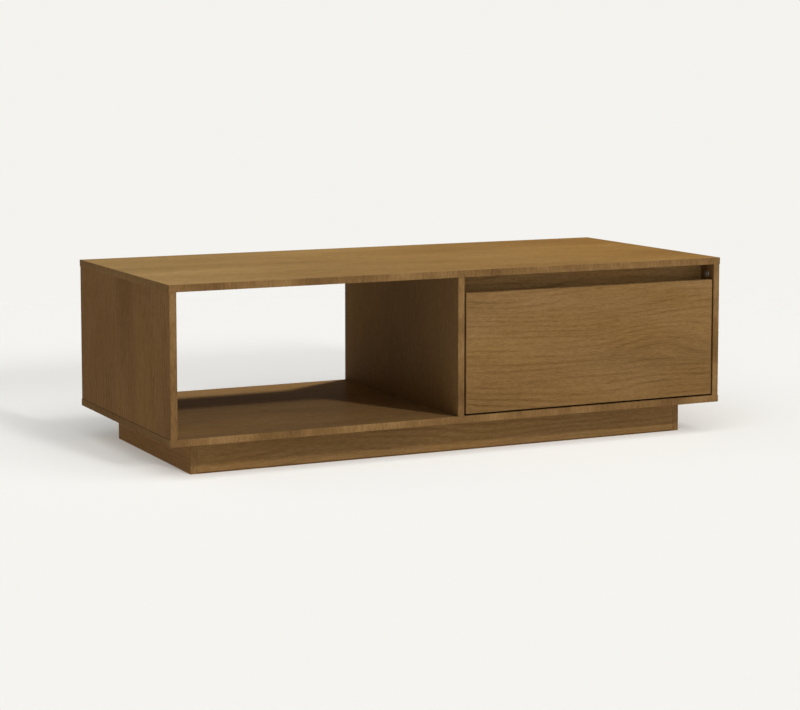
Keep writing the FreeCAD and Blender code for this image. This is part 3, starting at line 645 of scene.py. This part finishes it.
def cam_spot(corners, hosts):
    """The middle of a cam's open end, in the nearer face of its board, and the way that it faces."""
    low, high = corners_box(corners)
    middle = (low + high) / 2
    for host in hosts:
        board_low, board_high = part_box(host)
        if all(board_low[axis] <= middle[axis] <= board_high[axis] for axis in AXES):
            break
    axis = min(AXES, key=lambda n: board_high[n] - board_low[n])
    if board_high[axis] - high[axis] < low[axis] - board_low[axis]:
        return spot_on(middle, axis, board_high[axis], 1)
    return spot_on(middle, axis, board_low[axis], -1)


class ShapeTree(Graph):
    """A geometry tree with named inputs, which ends in realized meshes of one material."""

    def __init__(self, name, sizes):
        super().__init__(bpy.data.node_groups.new(name, "GeometryNodeTree"))
        face = self.tree.interface
        kinds = {"Spots": "NodeSocketGeometry"}
        kinds.update((size, "NodeSocketFloat") for size in sizes)
        kinds["Finish"] = "NodeSocketMaterial"
        self.identifiers = {}
        for label, kind in kinds.items():
            socket = face.new_socket(label, in_out="INPUT", socket_type=kind)
            self.identifiers[label] = socket.identifier
        face.new_socket("Shape", in_out="OUTPUT", socket_type="NodeSocketGeometry")
        self.asked = self.node("NodeGroupInput")

    def vector(self, x, y, z):
        return self.node("ShaderNodeCombineXYZ", inputs={"X": x, "Y": y, "Z": z})["Vector"]

    def lift(self, shape, height):
        moved = {"Geometry": shape, "Translation": self.vector(0.0, 0.0, height)}
        return self.node("GeometryNodeTransform", inputs=moved)["Geometry"]

    def rod(self, radius_low, radius_high, low, high, sides=ROUND_SIDES, rings=1):
        """A round piece between two heights, straight or tapered."""
        sizes = {
            "Vertices": sides,
            "Side Segments": rings,
            "Radius Top": radius_high,
            "Radius Bottom": radius_low,
            "Depth": high - low,
        }
        return self.lift(self.node("GeometryNodeMeshCone", inputs=sizes)["Mesh"], low)

    def crown(self, shape, low, high, swell):
        """The shape swelled out round its axis between two heights, most at half height."""
        place = self.node("GeometryNodeInputPosition")["Position"]
        height = self.node("ShaderNodeSeparateXYZ", inputs={"Vector": place})["Z"]
        share = (height - low) / (high - low)
        wider = share * (1 - share) * swell * 4 + 1
        moved = self.vector_math("MULTIPLY", place, self.vector(wider, wider, 1.0))["Vector"]
        swelled = {"Geometry": shape, "Position": moved}
        return self.node("GeometryNodeSetPosition", inputs=swelled)["Geometry"]

    def bar(self, length, width, depth, height):
        """A block on the axis, with its middle at the given height."""
        size = {"Size": self.vector(length, width, depth)}
        return self.lift(self.node("GeometryNodeMeshCube", inputs=size)["Mesh"], height)

    def union(self, shapes):
        return self.node("GeometryNodeMeshBoolean", {"operation": "UNION"}, {"Mesh 2": shapes})["Mesh"]

    def cross_cut(self, shape, top):
        """The shape less a cross recess of the asked sizes, sunk from the top."""
        length = self.asked["Slot Length"]
        width = self.asked["Slot Width"]
        depth = self.asked["Slot Depth"]
        arm = self.bar(length, width, depth * ARM_DEPTH, top)
        other_arm = self.bar(width, length, depth * OTHER_ARM_DEPTH, top)
        cut = {"Mesh 1": shape, "Mesh 2": self.union([arm, other_arm])}
        return self.node("GeometryNodeMeshBoolean", {"operation": "DIFFERENCE"}, cut)["Mesh"]

    def end(self, shape):
        """Sets the shape on every spot, turned the way that the spot faces."""
        named = {"Name": "facing"}
        facing = self.node("GeometryNodeInputNamedAttribute", {"data_type": "FLOAT_VECTOR"}, named)
        way = {"Vector": facing["Attribute"]}
        turn = self.node("FunctionNodeAlignRotationToVector", {"axis": "Z"}, way)["Rotation"]
        sown = {"Points": self.asked["Spots"], "Instance": shape, "Rotation": turn}
        placed = self.node("GeometryNodeInstanceOnPoints", inputs=sown)["Instances"]
        real = self.node("GeometryNodeRealizeInstances", inputs={"Geometry": placed})["Geometry"]
        dressed = {"Geometry": real, "Material": self.asked["Finish"]}
        shown = self.node("GeometryNodeSetMaterial", inputs=dressed)["Geometry"]
        self.node("NodeGroupOutput", inputs={"Shape": shown})

    def grow(self, name, spots, sizes, finish):
        """A plain mesh of the tree's shape on every spot."""
        mesh = bpy.data.meshes.new(name)
        mesh.from_pydata([point for point, _ in spots], [], [])
        facing = mesh.attributes.new("facing", "FLOAT_VECTOR", "POINT")
        for number, (_, way) in enumerate(spots):
            facing.data[number].vector = way
        seed = bpy.data.objects.new(name + "_spots", mesh)
        bpy.context.scene.collection.objects.link(seed)
        modifier = seed.modifiers.new("shape", "NODES")
        modifier.node_group = self.tree
        for label, value in {**sizes, "Finish": finish}.items():
            modifier[self.identifiers[label]] = value
        bpy.context.view_layer.update()
        grown = bpy.data.meshes.new_from_object(seed.evaluated_get(bpy.context.evaluated_depsgraph_get()))
        bpy.data.objects.remove(seed)
        grown.name = name
        grown.shade_smooth()
        grown.set_sharp_from_angle(angle=SHARP_ANGLE)
        piece = bpy.data.objects.new(name, grown)
        bpy.context.scene.collection.objects.link(piece)
        return piece


def cam_tree():
    sizes = ("Radius", "Depth", "Rim Radius", "Rim Height", "Slot Length", "Slot Width", "Slot Depth")
    tree = ShapeTree("cam_lock", sizes)
    ask = tree.asked
    body = tree.rod(ask["Radius"], ask["Radius"], -ask["Depth"], ask["Rim Height"] * 0.5)
    rim = tree.rod(ask["Rim Radius"], ask["Rim Radius"] - ask["Rim Height"], 0.0, ask["Rim Height"])
    tree.end(tree.cross_cut(tree.union([body, rim]), ask["Rim Height"]))
    return tree


def screw_tree():
    tree = ShapeTree("screw", (*FLAT_HEAD, "Length"))
    ask = tree.asked
    under = ask["Lift"] - ask["Head Height"]
    cone = tree.rod(ask["Low Radius"], ask["Top Radius"], under, ask["Lift"], rings=CROWN_RINGS)
    head = tree.cross_cut(tree.crown(cone, under, ask["Lift"], ask["Swell"]), ask["Lift"])
    radius = ask["Shank Radius"]
    shank = tree.rod(radius, radius, under - ask["Length"], under + SHANK_OVERLAP, SHANK_SIDES)
    tree.end(tree.node("GeometryNodeJoinGeometry", inputs={"Geometry": [head, shank]})["Geometry"])
    return tree


def ball_tree():
    tree = ShapeTree("ball", ("Radius",))
    ball = {"Radius": tree.asked["Radius"], "Subdivisions": BALL_SUBDIVISIONS}
    tree.end(tree.node("GeometryNodeMeshIcoSphere", inputs=ball)["Mesh"])
    return tree


def stand_for(piece, body, slot, *nodes):
    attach(piece, body)
    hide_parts(*nodes)


def cam_locks(tree, node, body, hosts):
    """Round cam locks in the boards that hold a node's few-sided ones, and of their size."""
    solids = solids_in(node)
    low, high = corners_box(solids[0])
    size = sorted(high - low)
    radius = size[2] / 2
    sizes = {
        "Radius": radius,
        "Depth": size[0],
        "Rim Radius": radius + CAM_RIM_REACH,
        "Rim Height": CAM_RIM_HEIGHT,
        "Slot Length": radius,
        "Slot Width": CAM_SLOT_WIDTH,
        "Slot Depth": CAM_SLOT_DEPTH,
    }
    spots = [cam_spot(corners, hosts) for corners in solids]
    piece = tree.grow(node + "_round", spots, sizes, cast_zinc)
    stand_for(piece, body, "cam_zinc", node)


def screws(tree, node, body, head):
    """Round screws where a node has its few-sided ones, and as long."""
    solids = solids_in(node)
    low, high = corners_box(solids[0])
    length = max(high - low)
    spots = [screw_spot(corners) for corners in solids]
    sizes = {**head, "Length": length - head["Head Height"]}
    piece = tree.grow(node + "_round", spots, sizes, plated_screw)
    stand_for(piece, body, "zinc_plated_steel", node)


def balls(tree, body, *nodes):
    """Round balls where the nodes have their few-sided ones, and of their size."""
    up = Vector((0, 0, 1))
    boxes = [corners_box(corners) for node in nodes for corners in solids_in(node)]
    spots = [((low + high) / 2, up) for low, high in boxes]
    low, high = boxes[-1]
    radius = (high.z - low.z) / 2
    piece = tree.grow(body + "_balls_round", spots, {"Radius": radius}, polished_steel)
    stand_for(piece, body, "ball_steel", *nodes)


def round_hardware():
    tree = cam_tree()
    walls = ("left_side_panel", "centre_partition", "right_side_panel")
    cam_locks(tree, "carcass_cam_locks", "carcass", walls)
    cam_locks(tree, "drawer_cam_locks", "drawer", ("drawer_left_side", "drawer_right_side"))
    tree = screw_tree()
    screws(tree, "cabinet_member_screws", "carcass", FLAT_HEAD)
    screws(tree, "drawer_member_screws", "drawer", FLAT_HEAD)
    screws(tree, "drawer_back_screws", "drawer", CROWNED_HEAD)
    screws(tree, "plinth_block_screws", "carcass", CROWNED_HEAD)
    tree = ball_tree()
    for row in ("outer", "inner"):
        balls(tree, f"{row}_ball_cages", f"left_slide_{row}_balls", f"right_slide_{row}_balls")


round_hardware()


# Floor, light and camera

def floor_finish():
    """Matt and glowing in shares, and clear to the camera far from the table."""
    material = bpy.data.materials.new("pale_floor")
    material.use_nodes = True
    graph = Graph(material.node_tree)
    color = tuple(c / FLOOR_LIGHT for c in BACKDROP[:3]) + (1.0,)
    matt = graph.node("ShaderNodeBsdfDiffuse", inputs={"Color": color})["BSDF"]
    glow = graph.node("ShaderNodeEmission", inputs={"Color": BACKDROP, "Strength": 1.0})["Emission"]
    seen = graph.node("ShaderNodeLightPath")["Is Camera Ray"]
    share = FLOOR_BOUNCE_SHARE + (FLOOR_SHADOW_SHARE - FLOOR_BOUNCE_SHARE) * seen
    near = graph.node("ShaderNodeMixShader", inputs={0: share, 1: glow, 2: matt})["Shader"]
    place = graph.node("ShaderNodeTexCoord")["Object"]
    far = graph.vector_math("LENGTH", place)["Value"]
    limits = {"Value": far, "From Min": FLOOR_CLEAR_RADIUS, "From Max": FLOOR_FADE_RADIUS}
    fade = graph.node("ShaderNodeMapRange", {"interpolation_type": "SMOOTHSTEP"}, limits)["Result"]
    clear = graph.node("ShaderNodeBsdfTransparent")["BSDF"]
    faded = graph.node("ShaderNodeMixShader", inputs={0: fade * seen, 1: near, 2: clear})["Shader"]
    graph.node("ShaderNodeOutputMaterial", inputs={"Surface": faded})
    return material


def pale_floor():
    """A pale floor that takes the table's shadow and fades into the background."""
    shape = bmesh.new()
    bmesh.ops.create_circle(shape, cap_ends=True, segments=FLOOR_SIDES, radius=FLOOR_RADIUS)
    mesh = bpy.data.meshes.new("floor")
    shape.to_mesh(mesh)
    shape.free()
    floor = bpy.data.objects.new("floor", mesh)
    bpy.context.scene.collection.objects.link(floor)
    mesh.materials.append(floor_finish())
    return floor


def lit_group(name, floor, state):
    """A group for a lamp that lights the floor alone, or all but the floor."""
    group = bpy.data.collections.new(name)
    group.objects.link(floor)
    group.collection_objects[0].light_linking.link_state = state
    return group


def lamp(name, level, travel, angle, group):
    data = bpy.data.lights.new(name, "SUN")
    data.energy = level * math.pi
    data.angle = math.radians(angle)
    lamp_object = bpy.data.objects.new(name, data)
    lamp_object.rotation_mode = "QUATERNION"
    lamp_object.rotation_quaternion = Vector(travel).to_track_quat("-Z", "Y")
    lamp_object.light_linking.receiver_collection = group
    bpy.context.scene.collection.objects.link(lamp_object)


def light(floor):
    for lamps, state in ((TABLE_LAMPS, "EXCLUDE"), (FLOOR_LAMPS, "INCLUDE")):
        group = lit_group(state.lower() + "_floor", floor, state)
        for name, (level, travel, angle) in lamps.items():
            lamp(name, level, travel, angle, group)


def surroundings():
    """Faint even light all round, which the camera and mirror-like surfaces see as the pale background."""
    world = bpy.data.worlds.new("surroundings")
    world.use_nodes = True
    graph = Graph(world.node_tree)
    ray = graph.node("ShaderNodeLightPath")
    direct = ray["Is Camera Ray"] + ray["Is Glossy Ray"] + ray["Is Transmission Ray"]
    share = graph.math("MINIMUM", direct, 1.0)
    soft = graph.node("ShaderNodeBackground", inputs={"Color": WHITE, "Strength": AMBIENT_LEVEL})
    pale = graph.node("ShaderNodeBackground", inputs={"Color": BACKDROP, "Strength": 1.0})
    mixed = {0: share, 1: soft["Background"], 2: pale["Background"]}
    shown = graph.node("ShaderNodeMixShader", inputs=mixed)["Shader"]
    graph.node("ShaderNodeOutputWorld", inputs={"Surface": shown})
    bpy.context.scene.world = world


def camera():
    data = bpy.data.cameras.new("camera")
    data.sensor_width = SENSOR_WIDTH
    data.lens = FOCAL_PIXELS / PICTURE_WIDTH * SENSOR_WIDTH
    data.shift_y = SHIFT_PIXELS / PICTURE_WIDTH
    forward = Vector((
        math.sin(CAMERA_YAW) * math.cos(CAMERA_PITCH),
        math.cos(CAMERA_YAW) * math.cos(CAMERA_PITCH),
        math.sin(CAMERA_PITCH),
    ))
    viewer = bpy.data.objects.new("camera", data)
    viewer.location = CAMERA_PLACE
    viewer.rotation_mode = "QUATERNION"
    viewer.rotation_quaternion = forward.to_track_quat("-Z", "Y")
    bpy.context.scene.collection.objects.link(viewer)
    bpy.context.scene.camera = viewer


light(pale_floor())
surroundings()
camera()
bpy.context.scene.view_settings.view_transform = "Standard"
